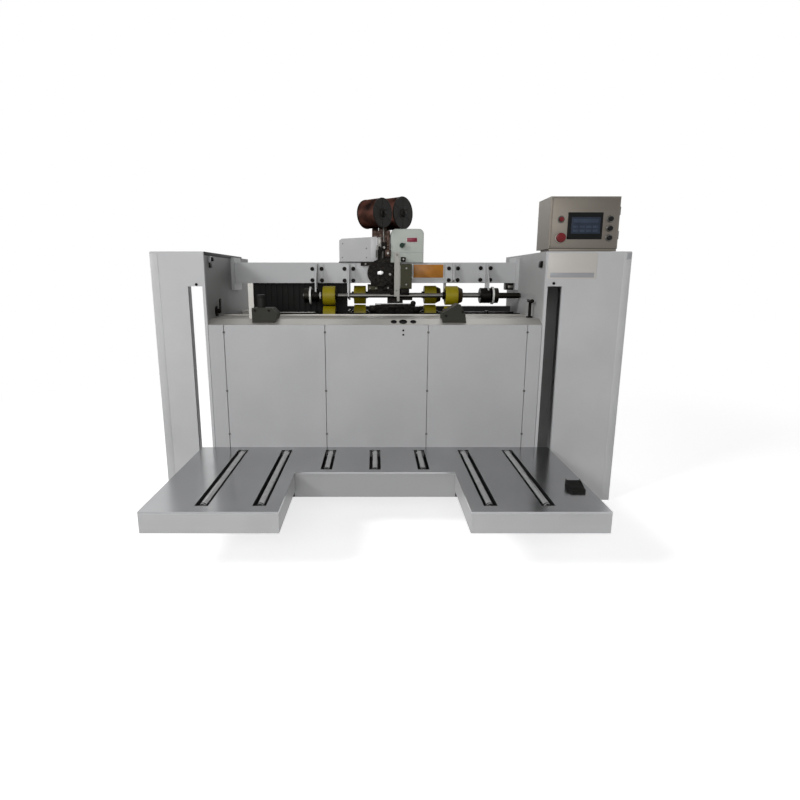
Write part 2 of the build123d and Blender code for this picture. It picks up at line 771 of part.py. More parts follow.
shapes = {
    "left_front_plate": front_plate(left_side, -1),
    "right_front_plate": front_plate(right_side, 1),
    "inner_side_walls": group([
        inner_wall(-1, left_wall_steps), inner_wall(1, right_wall_steps)]),
    "outer_side_walls": group([
        outer_wall(left_side, left_column_depth), outer_wall(right_side, right_column_depth)]),
    "column_top_covers": group([
        top_cover(left_side, left_column_depth), top_cover(right_side, right_column_depth)]),
    "right_rear_panel": block(wall_face + sheet, right_side, right_column_depth,
                              right_column_depth + sheet, 0, column_top),
    "electrical_cabinet": block(*cabinet_x, *cabinet_y, *cabinet_z),
    "base_plinth": block(-wall_face, wall_face, plinth_recess, machine_rear - plinth_recess,
                         0, plinth_top),
    "body_housing": block(-wall_face, wall_face, panel_depth, machine_rear - panel_depth,
                          plinth_top, housing_top),
    "front_panels": front_panels(),
    "rear_panels": rear_panels(),
    "front_deck": front_deck(),
    "deck_rear_strip": block(-wall_face, wall_face, front_deck_rear - deck_strip, front_deck_rear,
                             deck_top, deck_top + deck_strip),
    "rear_deck": rear_deck(),
    "cross_beam": cross_beam(),
    "shaft_hangers": shaft_hangers(),
    "bearing_housings": bearing_housings(),
    "shaft_pedestals": shaft_pedestals(),
    "ribbed_cover": ribbed_cover(),
    "lower_crossbar": block(cover_x[0], wall_face, crossbar_front, rear_deck_front, *crossbar_z),
    "side_guides": side_guides(),
    "guide_post": guide_post(),
    "amber_guard": block(*amber_x, beam_front - amber_sheet, beam_front, *amber_z),
    "upper_front_shaft": feed_shaft(front_shaft_y, upper_shaft_z, upper_front_start,
                                    front_wheels_x, upper_front_discs),
    "upper_front_wheels": feed_wheels(front_shaft_y, upper_shaft_z, front_wheels_x, True),
    "lower_front_shaft": feed_shaft(front_shaft_y, lower_shaft_z, lower_front_start,
                                    front_wheels_x, ()),
    "lower_front_wheels": feed_wheels(front_shaft_y, lower_shaft_z, front_wheels_x),
    "upper_rear_shaft": feed_shaft(rear_shaft_y, upper_shaft_z, rear_start, rear_wheels_x, ()),
    "upper_rear_wheels": feed_wheels(rear_shaft_y, upper_shaft_z, rear_wheels_x, True),
    "lower_rear_shaft": feed_shaft(rear_shaft_y, lower_shaft_z, rear_start, rear_wheels_x, ()),
    "lower_rear_wheels": feed_wheels(rear_shaft_y, lower_shaft_z, rear_wheels_x),
    "head_casing": head_casing(),
    "head_cover": head_cover(),
    "head_body": head_body(),
    "head_side_plate": head_side_plate(),
    "front_bar": front_bar(),
    "clincher": clincher(),
    "flywheel": flywheel(),
    "reel_stand": reel_stand(),
    "wire_reel_left": reel(left_reel, left_reel_radius),
    "wire_reel_right": reel(right_reel, right_reel_radius),
    "table_top": table_top(),
    "table_skirt": table_skirt(),
    "table_frame": table_frame(),
    "table_legs": table_legs(),
    "roller_brackets": roller_brackets(),
    "control_box": control_box(),
    "touch_screen": touch_screen(),
    "push_buttons": push_buttons(),
    "stop_button": stop_button(),
    "foot_switch": foot_switch(),
}
for number, (x, short) in enumerate(roller_places, 1):
    shapes[f"table_roller_{number}"] = roller(x, short)

os.makedirs("parts", exist_ok=True)
to_origin = Pos(-(left_side + right_side) / 2, -(table_front + machine_rear) / 2, 0)
for name, shape in shapes.items():
    export_step(to_origin * shape, f"parts/{name}.step")
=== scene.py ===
import math

import bpy
from mathutils import Matrix, Vector


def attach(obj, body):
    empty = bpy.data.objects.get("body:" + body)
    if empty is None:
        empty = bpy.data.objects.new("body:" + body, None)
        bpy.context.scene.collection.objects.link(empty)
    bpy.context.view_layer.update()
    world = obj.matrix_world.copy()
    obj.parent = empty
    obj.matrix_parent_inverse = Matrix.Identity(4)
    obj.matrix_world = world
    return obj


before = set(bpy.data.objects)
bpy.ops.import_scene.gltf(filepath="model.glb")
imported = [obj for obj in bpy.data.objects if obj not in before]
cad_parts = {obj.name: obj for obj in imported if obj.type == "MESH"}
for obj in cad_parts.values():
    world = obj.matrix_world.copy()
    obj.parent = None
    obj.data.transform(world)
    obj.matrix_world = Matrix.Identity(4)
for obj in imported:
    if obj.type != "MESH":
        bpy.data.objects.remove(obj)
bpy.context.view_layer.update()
bpy.ops.object.select_all(action="DESELECT")
print("frame loaded:", len(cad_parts), "nodes")

mm = 0.001
lineX, frontY = -93, -122  # the table's centre line and the front sheet, in the part's own frame, mm
frontShaftY, rearShaftY = 490, 650  # the feed shafts, in mm from the front sheet
upperShaftZ, lowerShaftZ = 1295, 1159  # and from the floor
toFront, toRear = (0, -1, 0), (0, 1, 0)
toLeft, toRight = (-1, 0, 0), (1, 0, 0)
upward = (0, 0, 1)


def at(x, y, z):
    # a place measured from the table's centre line, the front sheet and the floor, in mm
    return Vector(((x + lineX) * mm, (y + frontY) * mm, z * mm))


# Camera

view = {
    "place": (0, -2978, 1422),
    "pitch": 10.94,  # degrees below level
    "lens": 22.12,
    "sensor": 36,
    "shiftX": 0.03125,
    "shiftY": -0.035,
    "farClip": 200,
}


def makeCamera():
    bpy.ops.object.camera_add(location=at(*view["place"]))
    camera = bpy.context.object
    camera.rotation_euler = (math.radians(90 - view["pitch"]), 0, 0)
    camera.data.lens = view["lens"]
    camera.data.sensor_width = view["sensor"]
    camera.data.shift_x = view["shiftX"]
    camera.data.shift_y = view["shiftY"]
    camera.data.clip_end = view["farClip"]
    bpy.context.scene.camera = camera


# Material helpers

def colour(code):
    # sRGB hex to linear
    channels = [int(code[i:i + 2], 16) / 255 for i in (1, 3, 5)]
    return [c / 12.92 if c <= 0.04045 else ((c + 0.055) / 1.055) ** 2.4 for c in channels] + [1]


def grey(value):
    return [value, value, value, 1]


def addNode(tree, kind, inputs=None, **settings):
    made = tree.nodes.new(kind)
    for key, value in settings.items():
        setattr(made, key, value)
    for key, value in (inputs or {}).items():
        if isinstance(value, bpy.types.NodeSocket):
            tree.links.new(value, made.inputs[key])
        else:
            made.inputs[key].default_value = value
    return made


def startMaterial(name, **shader):
    # returns the material, its tree, its shader and the Object coordinates
    made = bpy.data.materials.new(name)
    made.use_nodes = True
    tree = made.node_tree
    surface = tree.nodes["Principled BSDF"]
    for key, value in shader.items():
        surface.inputs[key.replace("_", " ")].default_value = value
    return made, tree, surface, addNode(tree, "ShaderNodeTexCoord").outputs["Object"]


def blend(tree, factor, dark, light, low=0.35, high=0.65):
    ramp = addNode(tree, "ShaderNodeValToRGB", {"Fac": factor})
    ends = ramp.color_ramp.elements
    ends[0].position, ends[1].position = low, high
    ends[0].color, ends[1].color = dark, light
    return ramp.outputs["Color"]


def noise(tree, place, cell, detail=3.0):
    # a soft pattern whose features are about cell mm across
    return addNode(tree, "ShaderNodeTexNoise",
                   {"Vector": place, "Scale": 1000 / cell, "Detail": detail}).outputs["Fac"]


grainDepth = 0.3  # mm, between the high and the low of a grain at full strength


def roughen(tree, surface, height, strength):
    bump = addNode(tree, "ShaderNodeBump",
                   {"Height": height, "Strength": strength, "Distance": grainDepth * mm})
    tree.links.new(bump.outputs["Normal"], surface.inputs["Normal"])


def painted(name, light, dark, rough=0.4, gloss=0.5, patch=420, handling=110, peel=6):
    # powder coat on sheet steel: an even colour, and a fine orange peel that breaks the highlights;
    # patch, handling and peel are the sizes of its cloudy tone, its wear in gloss and its peel, in mm
    made, tree, surface, place = startMaterial(name, Specular_IOR_Level=gloss)
    tree.links.new(blend(tree, noise(tree, place, patch), colour(dark), colour(light)),
                   surface.inputs["Base Color"])
    wear = noise(tree, place, handling, 5.0)
    tree.links.new(blend(tree, wear, grey(rough - 0.02), grey(rough + 0.03)),
                   surface.inputs["Roughness"])
    roughen(tree, surface, noise(tree, place, peel, 2.0), 0.05)
    return made


def brushed(name, light, dark, rough, lines=0.45, grain=1.1, patch=420):
    # stainless sheet: fine grinding lines along X, so highlights stretch across them;
    # the grain, in mm, is drawn coarser than real grinding lines so that it shows
    made, tree, surface, place = startMaterial(name, Metallic=1.0)
    fine = 1000 / grain
    drawn = addNode(tree, "ShaderNodeMapping", {"Vector": place, "Scale": (2.0, fine, fine)})
    scratch = addNode(tree, "ShaderNodeTexNoise",
                      {"Vector": drawn.outputs["Vector"], "Scale": 0.35, "Detail": 4.0})
    line = scratch.outputs["Fac"]
    tone = addNode(tree, "ShaderNodeMath", {0: line, 1: lines, 2: noise(tree, place, patch)},
                   operation="MULTIPLY_ADD")
    tree.links.new(blend(tree, tone.outputs["Value"], colour(dark), colour(light), 0.5, 0.95),
                   surface.inputs["Base Color"])
    tree.links.new(blend(tree, line, grey(rough - 0.04), grey(rough + 0.06)),
                   surface.inputs["Roughness"])
    roughen(tree, surface, line, 0.09 * lines)
    return made


def metal(name, light, dark, rough, metallic=1.0, cell=16, strength=0.08):
    # turned, cast or oxidised metal: small cloudy change of colour and gloss
    made, tree, surface, place = startMaterial(name, Metallic=metallic)
    cloud = noise(tree, place, cell, 5.0)
    tree.links.new(blend(tree, cloud, colour(dark), colour(light)), surface.inputs["Base Color"])
    tree.links.new(blend(tree, cloud, grey(rough + 0.07), grey(rough - 0.04)),
                   surface.inputs["Roughness"])
    roughen(tree, surface, cloud, strength)
    return made


def moulded(name, light, dark, rough, gloss=0.5, strength=0.08, patch=70, grain=3.0):
    # moulded or cast plastic and rubber: one colour with a fine even grain
    made, tree, surface, place = startMaterial(name, Roughness=rough, Specular_IOR_Level=gloss)
    tree.links.new(blend(tree, noise(tree, place, patch), colour(dark), colour(light)),
                   surface.inputs["Base Color"])
    roughen(tree, surface, noise(tree, place, grain, 1.0), strength)
    return made


def split(tree):
    # the place on the piece as X, Y and Z, in metres
    place = addNode(tree, "ShaderNodeTexCoord").outputs["Object"]
    return addNode(tree, "ShaderNodeSeparateXYZ", {"Vector": place}).outputs


def over(tree, value, limit):
    # 1 where the value is over the limit, which is in mm
    return addNode(tree, "ShaderNodeMath", {0: value, 1: limit * mm},
                   operation="GREATER_THAN").outputs["Value"]


def under(tree, value, limit):
    # 1 where the value is under the limit, which is in mm
    return addNode(tree, "ShaderNodeMath", {0: value, 1: limit * mm},
                   operation="LESS_THAN").outputs["Value"]


def repaint(made, mask, code):
    # lays one more colour over the base colour where the mask is 1
    tree = made.node_tree
    socket = tree.nodes["Principled BSDF"].inputs["Base Color"]
    mix = addNode(tree, "ShaderNodeMixRGB", {"Fac": mask, "Color1": socket.links[0].from_socket,
                                             "Color2": colour(code)})
    tree.links.new(mix.outputs["Color"], socket)
    return made


# Paints whose colour depends on the place, and the materials

partColour = {
    "shadedWall": "#878787",
    # painted shade for the deeper skirt plate behind the operator's cut-out
    "skirtPaintedShade": "#9C9C9D",
    "knob": "#0E0E0C",
    "drum": "#211F1B",
    "darkShoulder": "#2A1F0C",
    "skirtStart": -415,  # the plate behind the operator's cut-out starts here, y in mm
    "knobFoot": 1238.5,  # z in mm
    "shaftRadius": 16.5,
}


def wallPaint(name):
    # grey powder coat; the left wall, which is in the shade, gets painted shade: a darker grey laid over it
    made = painted(name, "#A5A5A5", "#9A9A9A", 0.5, gloss=0.25)
    tree = made.node_tree
    return repaint(made, under(tree, split(tree)["X"], lineX), partColour["shadedWall"])


def skirtPaint(name):
    # light grey paint; the deeper plate behind the operator's cut-out gets painted shade, a darker grey,
    # since it lies further from the light
    made = painted(name, "#B6B6B7", "#ADADAE", 0.4)
    tree = made.node_tree
    rear = over(tree, split(tree)["Y"], frontY + partColour["skirtStart"])
    return repaint(made, rear, partColour["skirtPaintedShade"])


def guideEnamel(name):
    # dark olive grey enamel, with the clamp knob that stands on the left guide in black
    made = painted(name, "#26261F", "#1F1F19", 0.5, gloss=0.2)
    tree = made.node_tree
    parts = split(tree)
    left = under(tree, parts["X"], lineX)
    high = over(tree, parts["Z"], partColour["knobFoot"])
    knob = addNode(tree, "ShaderNodeMath", {0: left, 1: high}, operation="MULTIPLY")
    return repaint(made, knob.outputs["Value"], partColour["knob"])


def shaftSteel(name, y):
    # polished shaft, its drums and hubs in black oxide: whatever is wider than the shaft
    made = metal(name, "#605F5D", "#575654", 0.36, cell=60, strength=0.01)
    tree = made.node_tree
    centre = at(0, y, upperShaftZ)
    place = addNode(tree, "ShaderNodeTexCoord").outputs["Object"]
    offset = addNode(tree, "ShaderNodeVectorMath", {0: place, 1: centre}, operation="SUBTRACT")
    across = addNode(tree, "ShaderNodeVectorMath", {0: offset.outputs["Vector"], 1: (0, 1, 1)},
                     operation="MULTIPLY")
    radius = addNode(tree, "ShaderNodeVectorMath", {0: across.outputs["Vector"]},
                     operation="LENGTH")
    wide = over(tree, radius.outputs["Value"], partColour["shaftRadius"])
    return repaint(made, wide, partColour["drum"])


def shoulderedTyre(name, x):
    # cast yellow tyre whose tapered shoulder, past x, is painted dark brown
    made = moulded(name, "#90830A", "#7F7206", 0.4, gloss=0.22)
    tree = made.node_tree
    return repaint(made, over(tree, split(tree)["X"], x + lineX), partColour["darkShoulder"])


finish = {
    # powder coat and enamel: even and matt, with a fine peel that softens every highlight
    "panel": painted("powder_coat_light_grey", "#B9B9BA", "#B2B2B3"),
    "body": painted("powder_coat_body_grey", "#ACACAD", "#A6A6A7", 0.42),  # a shade darker
    "beam": painted("powder_coat_beam_grey", "#B2B3B4", "#A9AAAB", 0.42),  # a touch cooler
    "wall": wallPaint("powder_coat_wall_grey"),
    "inside": painted("powder_coat_dark_grey", "#232323", "#1C1C1C", 0.6, gloss=0.25),  # deep, no shine
    "cabinet": painted("enamel_pale_grey", "#989898", "#8E8E8E", 0.5, gloss=0.2),  # dull, in the shade
    "cover": painted("enamel_pale_green_grey", "#A6ACA4", "#9EA49C", 0.36),  # a little glossier, greenish
    "bar": painted("enamel_warm_grey", "#A09F98", "#979690", 0.4, gloss=0.35),  # warm and slightly soiled
    "guide": guideEnamel("enamel_dark_olive_grey"),
    "olive": painted("enamel_olive", "#33311E", "#2A2818", 0.5, gloss=0.2),  # dark, almost no shine
    "skirt": skirtPaint("light_grey_skirt_paint"),
    "label": painted("printed_label_stock", "#BEBAB5", "#B8B4AF", 0.35),  # warm white with a soft sheen
    "labelBand": painted("label_band_grey", "#96979A", "#8F9093", 0.35),  # its cooler grey band
    # stainless sheet: grey metal with lines along it, so that reflections smear across them
    "deck": brushed("brushed_stainless_deck", "#A8A6A2", "#9B9993", 0.5),  # worn, wide soft highlights
    "box": brushed("brushed_stainless_box", "#746F68", "#67625B", 0.5),  # darker and warmer
    "table": brushed("polished_stainless_table", "#BDBEBF", "#B0B1B2", 0.2, lines=0.12),  # near a mirror
    # bare and plated steel: how sharp the mirror image is tells them apart
    "zinc": metal("zinc_plated_steel", "#D2D2CE", "#BEBEBA", 0.5, metallic=0.2, cell=24,
                  strength=0.02),  # pale and flat, nearly white
    "chrome": metal("chromed_steel", "#D9D9D8", "#C8C8C7", 0.1, cell=40, strength=0.01),  # sharp mirror
    "ground": metal("ground_steel", "#A9A8A4", "#92918D", 0.28, cell=30, strength=0.02),  # soft mirror
    "dull": metal("dull_shaft_steel", "#6E6D6A", "#565552", 0.34, cell=30, strength=0.02),  # grey, tarnished
    "black": metal("black_oxide_steel", "#1C1A18", "#100F0E", 0.42),  # black with a faint oily shine
    "brown": metal("oiled_brown_steel", "#3F332E", "#261F1B", 0.42),  # rusty brown under old oil
    "frontShaft": shaftSteel("front_feed_shaft_steel", frontShaftY),
    "rearShaft": shaftSteel("rear_feed_shaft_steel", rearShaftY),
    "wire": metal("copper_washed_wire", "#5C3A31", "#1E1411", 0.3, cell=110),  # dark copper, glints in rows
    # cast and moulded plastic and rubber: one solid colour whose grain sets how soft the shine is
    "tyre": moulded("cast_polyurethane_yellow", "#90830A", "#7F7206", 0.4, gloss=0.22),  # greasy yellow
    "frontTyre": shoulderedTyre("front_tyre_polyurethane", 573.5),
    "rearTyre": shoulderedTyre("rear_tyre_polyurethane", 442.5),
    "rubber": moulded("black_rubber", "#0F0F0D", "#090908", 0.6, gloss=0.16),  # flat black
    "amber": moulded("amber_acrylic", "#B0731F", "#9B631A", 0.34, gloss=0.25, strength=0.02),  # warm, smooth
    "bezel": moulded("black_abs_bezel", "#101112", "#0B0C0D", 0.4, gloss=0.1),  # matt black frame
    "screen": moulded("display_glass", "#2B3442", "#262E3B", 0.12, gloss=0.12, strength=0.0),  # dim blue
    "screenPale": moulded("display_field", "#384252", "#333C4B", 0.14, gloss=0.12,
                          strength=0.0),  # the lit fields, a little paler
    "button": moulded("black_nylon_button", "#0D0D0D", "#080808", 0.36, gloss=0.15),  # satin black
    "red": moulded("red_abs_button", "#6F1219", "#5C0D13", 0.34, gloss=0.25),  # deep satin red
    "badge": moulded("dark_red_enamel_badge", "#7E1130", "#700E2A", 0.3, gloss=0.25),  # smooth crimson
    "green": moulded("dark_green_knob_plastic", "#0C2A1F", "#092118", 0.45, gloss=0.15),  # almost black
    "spool": moulded("black_polystyrene_spool", "#211F1D", "#181614", 0.38, gloss=0.14),  # satin, dusty
}
print("materials made:", len(finish))

nodeFinish = {
    "panel": ["left_front_plate", "right_front_plate", "outer_side_walls", "column_top_covers",
              "right_rear_panel", "amber_guard"],
    "body": ["front_panels", "rear_panels", "head_casing", "body_housing"],
    "beam": ["cross_beam", "shaft_hangers"],
    "wall": ["inner_side_walls"],
    "cabinet": ["electrical_cabinet"],
    "inside": ["base_plinth", "table_frame", "lower_crossbar"],
    "deck": ["front_deck", "rear_deck", "deck_rear_strip", "guide_post"],
    "black": ["shaft_pedestals", "head_body", "clincher", "flywheel", "bearing_housings",
              "lower_front_shaft", "lower_rear_shaft"],
    "brown": ["reel_stand"],
    "rubber": ["ribbed_cover", "foot_switch"],
    "guide": ["side_guides"],
    "olive": ["head_side_plate"],
    "frontShaft": ["upper_front_shaft"],
    "rearShaft": ["upper_rear_shaft"],
    "ground": ["table_legs", "roller_brackets"],
    "tyre": ["lower_front_wheels", "lower_rear_wheels"],
    "frontTyre": ["upper_front_wheels"],
    "rearTyre": ["upper_rear_wheels"],
    "cover": ["head_cover"],
    "bar": ["front_bar"],
    "spool": ["wire_reel_left", "wire_reel_right"],
    "table": ["table_top"],
    "skirt": ["table_skirt"],
    "chrome": [f"table_roller_{i}" for i in range(1, 8)],
    "box": ["control_box"],
    "bezel": ["touch_screen"],
    "button": ["push_buttons"],
    "red": ["stop_button"],
}


def dressNodes():
    for key, names in nodeFinish.items():
        for name in names:
            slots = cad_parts[name].data.materials
            slots.clear()
            slots.append(finish[key])
    print("CAD nodes dressed")


# Floor and light

stageLook = {
    "floorHalf": 40,  # metres
    "floorSeen": 0.7,  # glow of the floor to the camera, so that its shadows stay pale
    "floorFill": 0.2,  # glow of the floor on the machine
    "floorDrop": 0.5,  # mm under the machine's feet
    "clearNear": 2.6,  # the floor turns plain white from here
    "clearFar": 5.2,  # to here, in metres from the middle
    "ambient": 0.07,  # what the surroundings give the machine
    "white": 1.0,  # how bright they look to the camera and in mirrors
}
lamps = [  # name, place, target, size, watts
    ("key", (-6300, -4000, 5440), (100, 200, 800), 1.8, 320),
    ("front", (-600, -6500, 2900), (100, 0, 800), 3.4, 160),
    ("back", (600, 4200, 3600), (0, 300, 900), 3.0, 60),
]


def mirrorRays(tree):
    # 1 for reflections and for light through glass
    seen = addNode(tree, "ShaderNodeLightPath")
    rays = addNode(tree, "ShaderNodeMath",
                   {0: seen.outputs["Is Glossy Ray"], 1: seen.outputs["Is Transmission Ray"]},
                   operation="MAXIMUM")
    return seen, rays.outputs["Value"]


def makeStage():
    made, tree, surface, place = startMaterial("pale_floor", Roughness=0.9)
    surface.inputs["Base Color"].default_value = grey(0.88)
    surface.inputs["Emission Color"].default_value = grey(1)
    seen, rays = mirrorRays(tree)
    glow = addNode(tree, "ShaderNodeMapRange", {"Value": seen.outputs["Is Camera Ray"]})
    glow.inputs["To Min"].default_value = stageLook["floorFill"]
    glow.inputs["To Max"].default_value = stageLook["floorSeen"]
    tree.links.new(glow.outputs["Result"], surface.inputs["Emission Strength"])
    # the floor is plain white away from the machine, and in mirrors
    away = addNode(tree, "ShaderNodeVectorMath", {0: place}, operation="LENGTH")
    clear = addNode(tree, "ShaderNodeMapRange", {"Value": away.outputs["Value"]},
                    interpolation_type="SMOOTHSTEP")
    clear.inputs["From Min"].default_value = stageLook["clearNear"]
    clear.inputs["From Max"].default_value = stageLook["clearFar"]
    far = addNode(tree, "ShaderNodeMath", {0: clear.outputs["Result"],
                                           1: seen.outputs["Is Camera Ray"]},
                  operation="MULTIPLY")
    share = addNode(tree, "ShaderNodeMath", {0: far.outputs["Value"], 1: rays},
                    operation="MAXIMUM")
    plain = addNode(tree, "ShaderNodeEmission", {"Color": grey(1), "Strength": stageLook["white"]})
    mix = addNode(tree, "ShaderNodeMixShader",
                  {0: share.outputs["Value"], 1: surface.outputs["BSDF"],
                   2: plain.outputs["Emission"]})
    tree.links.new(mix.outputs["Shader"], tree.nodes["Material Output"].inputs["Surface"])
    bpy.ops.mesh.primitive_plane_add(size=2 * stageLook["floorHalf"],
                                     location=(0, 0, -stageLook["floorDrop"] * mm))
    floor = bpy.context.object
    floor.name = "floor"
    applyPlace()
    floor.data.materials.append(made)


def makeLight():
    world = bpy.data.worlds.new("soft_studio")
    bpy.context.scene.world = world
    world.use_nodes = True
    tree = world.node_tree
    back = tree.nodes["Background"]
    back.inputs["Color"].default_value = grey(1)
    seen, rays = mirrorRays(tree)
    clear = addNode(tree, "ShaderNodeMath", {0: seen.outputs["Is Camera Ray"], 1: rays},
                    operation="MAXIMUM")
    level = addNode(tree, "ShaderNodeMapRange", {"Value": clear.outputs["Value"]})
    level.inputs["To Min"].default_value = stageLook["ambient"]
    level.inputs["To Max"].default_value = stageLook["white"]
    tree.links.new(level.outputs["Result"], back.inputs["Strength"])
    for name, place, target, size, watts in lamps:
        spot = at(*place)
        bpy.ops.object.light_add(type="AREA", location=spot)
        lamp = bpy.context.object
        lamp.name = name
        lamp.data.size = size
        lamp.data.energy = watts
        lamp.rotation_euler = (at(*target) - spot).to_track_quat("-Z", "Y").to_euler()
    bpy.context.scene.view_settings.view_transform = "Standard"


# Modelling helpers

def editAll():
    bpy.ops.object.mode_set(mode="EDIT")
    bpy.ops.mesh.select_mode(type="FACE")
    bpy.ops.mesh.select_all(action="SELECT")


smoothUnder = 35  # degrees; sharper edges stay sharp


def leaveEdit(piece, material):
    bpy.ops.mesh.select_all(action="SELECT")
    bpy.ops.mesh.remove_doubles(threshold=0.00001)
    bpy.ops.mesh.normals_make_consistent(inside=False)
    bpy.ops.object.mode_set(mode="OBJECT")
    bpy.ops.object.shade_smooth_by_angle(angle=math.radians(smoothUnder))
    piece.data.materials.append(finish[material])
    return piece


def applyPlace():
    bpy.ops.object.transform_apply(location=True, rotation=True, scale=True)


def block(x, y, z, material, bevel):
    # a block with softened edges; x, y and z are each (low, high) in mm
    middle = [(low + high) / 2 for low, high in (x, y, z)]
    bpy.ops.mesh.primitive_cube_add(size=1, location=at(*middle))
    piece = bpy.context.object
    piece.scale = [(high - low) * mm for low, high in (x, y, z)]
    applyPlace()
    editAll()
    bpy.ops.mesh.bevel(offset=bevel * mm, segments=2, affect="EDGES")
    return leaveEdit(piece, material)


def turned(stations, place, along, material="black", segments=32):
    # a round piece: a disc at the first (distance, radius), extruded and scaled to each next one
    last, size = stations[0]
    bpy.ops.mesh.primitive_circle_add(vertices=segments, radius=size * mm, fill_type="NGON",
                                      location=(0, 0, last * mm))
    piece = bpy.context.object
    applyPlace()
    editAll()
    for distance, radius in stations[1:]:
        bpy.ops.mesh.extrude_region_move(
            TRANSFORM_OT_translate={"value": (0, 0, (distance - last) * mm)})
        grow = radius / size
        bpy.ops.transform.resize(value=(grow, grow, 1), center_override=(0, 0, distance * mm))
        last, size = distance, radius
    leaveEdit(piece, material)
    turn = Vector(along).to_track_quat("Z", "Y").to_matrix().to_4x4()
    piece.matrix_world = Matrix.Translation(at(*place)) @ turn
    applyPlace()
    return piece


def slab(corners, push, material, bevel):
    # a plate: a disc with one corner for each place, moved there and then extruded by push mm
    bpy.ops.mesh.primitive_circle_add(vertices=len(corners), radius=0.1, fill_type="NGON")
    piece = bpy.context.object
    for vertex, corner in zip(piece.data.vertices, corners):
        vertex.co = at(*corner)
    editAll()
    bpy.ops.mesh.extrude_region_move(
        TRANSFORM_OT_translate={"value": [step * mm for step in push]})
    bpy.ops.mesh.select_all(action="SELECT")
    bpy.ops.mesh.normals_make_consistent(inside=False)
    bpy.ops.mesh.bevel(offset=bevel * mm, segments=2, affect="EDGES")
    return leaveEdit(piece, material)


def merged(pieces):
    bpy.ops.object.select_all(action="DESELECT")
    for piece in pieces:
        piece.select_set(True)
    bpy.context.view_layer.objects.active = pieces[0]
    if len(pieces) > 1:
        bpy.ops.object.join()
    return bpy.context.object


def joined(pieces, name, body="machine"):
    # one finished piece, which rides on its body
    piece = merged(pieces)
    applyPlace()
    piece.name = name
    piece.data.name = name
    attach(piece, body)
    bpy.ops.object.select_all(action="DESELECT")


def copied(model, moves):
    # the model itself and a copy with its own mesh for each further move, in mm
    pieces = [model]
    for move in moves[1:]:
        twin = model.copy()
        twin.data = model.data.copy()
        bpy.context.collection.objects.link(twin)
        twin.location = Vector(move) * mm
        pieces.append(twin)
    model.location = Vector(moves[0]) * mm
    return pieces


def screws(name, places, along, radius, body="machine", material="black"):
    # socket head screws on a washer, modelled once at the zero point and copied to each place
    cap = turned([(0, radius * 1.25), (radius * 0.16, radius * 1.25), (radius * 0.2, radius),
                  (radius * 0.62, radius), (radius * 0.74, radius * 0.88),
                  (radius * 0.74, radius * 0.45), (radius * 0.4, radius * 0.42)],
                 (0, 0, 0), along, material, 20)
    joined(copied(cap, places), name, body)


def hexBolts(name, places, along, radius):
    # black hexagon head bolts on a washer
    washer = turned([(0, radius * 1.3), (radius * 0.18, radius * 1.3), (radius * 0.2, radius)],
                    (0, 0, 0), along, "black", 24)
    head = turned([(radius * 0.2, radius), (radius * 0.72, radius), (radius * 0.84, radius * 0.86)],
                  (0, 0, 0), along, "black", 6)
    joined(copied(merged([washer, head]), places), name)


# Columns and panels

columnTrim = {
    "top": 1570,
    "outerLeft": -1331,
    "outerRight": 1517,
    "edge": (1, 46),  # the folded edge strip, measured from the column's outer side
    "stripZ": (2, 1558),
    "proud": 1.2,
    "sunk": 0.5,
    "capX": (4, 30),  # the corner cap, measured from the outer side
    "capZ": (8, 46),  # and down from the top
    "labelX": (1026, 1315),
    "labelZ": (1411, 1561),
    "bandInset": 14,
    "bandZ": (1419, 1447),
}
seams = (-919, -304, 324, 927)
sideScrewZ = (150, 560, 980, 1400)
rearScrewX = [side + i * 676 for i in range(3) for side in (-970, -382)]
columnScrews = [  # name, places, facing, radius, material
    ("seamScrews", [(x, 0, z) for x in seams for z in (1092, 727, 448)], toFront, 6, "dull"),
    ("slotScrews", [(-1066, 0, 1378), (1066, 0, 1384)], toFront, 7, "black"),
    ("panelDots", [(172, 0, 1103), (172, 0, 1077)], toFront, 5, "black"),
    ("leftSideScrews", [(columnTrim["outerLeft"], y, z) for y in (48, 556) for z in sideScrewZ],
     toLeft, 6, "black"),
    ("rightSideScrews", [(columnTrim["outerRight"], y, z) for y in (48, 766) for z in sideScrewZ],
     toRight, 6, "black"),
    ("rearColumnScrews", [(x, 816, z) for x in (1052, 1484) for z in sideScrewZ], toRear, 6,
     "black"),
    ("rearPanelScrews", [(x, 1122, z) for x in rearScrewX for z in (126, 612, 1096)], toRear, 6,
     "black"),
]


def makeColumnTrim():
    c = columnTrim
    y = (-c["proud"], c["sunk"])
    left, right = c["outerLeft"], c["outerRight"]
    near, far = c["edge"]
    folds = [block(x, y, c["stripZ"], "panel", 0.5)
             for x in ((left + near, left + far), (right - far, right - near))]
    joined(folds, "columnEdgeFolds")
    near, far = c["capX"]
    high, deep = c["capZ"]
    corner = block((right - far, right - near), (-3, c["sunk"]), (c["top"] - deep, c["top"] - high),
                   "labelBand", 1.4)
    joined([corner], "columnCornerCap")
    low, high = c["labelX"]
    plate = block((low, high), (-1.6, 0.4), c["labelZ"], "label", 0.5)
    band = block((low + c["bandInset"], high - c["bandInset"]), (-2.0, -1.0), c["bandZ"],
                 "labelBand", 0.3)
    joined([plate, band], "columnLabelPlate")
    for name, places, facing, radius, material in columnScrews:
        screws(name, places, facing, radius, material=material)
    print("column trim made")


# Fittings on the inner walls

wallFittings = {
    "face": 1014.5,  # the inner walls, from the table's centre line
    "bandY": (18, 843),
    "bandZ": (1549, 1570),
    "lampY": (90, 126),
    "lampZ": (1512, 1546),
    "leverY": 188,
    "leverZ": (1180, 1288),
    "boxY": (58, 98),
    "boxZ": (1478, 1516),
    "handleX": 985,
    "handleY": 170,
    "handleZ": (1168, 1272),
    "gripOut": 44,  # how far the grip reaches behind its stem
    "lugX": (935, 1004),
    "lugY": (588, 650),
    "lugZ": (1331, 1380.5),
}


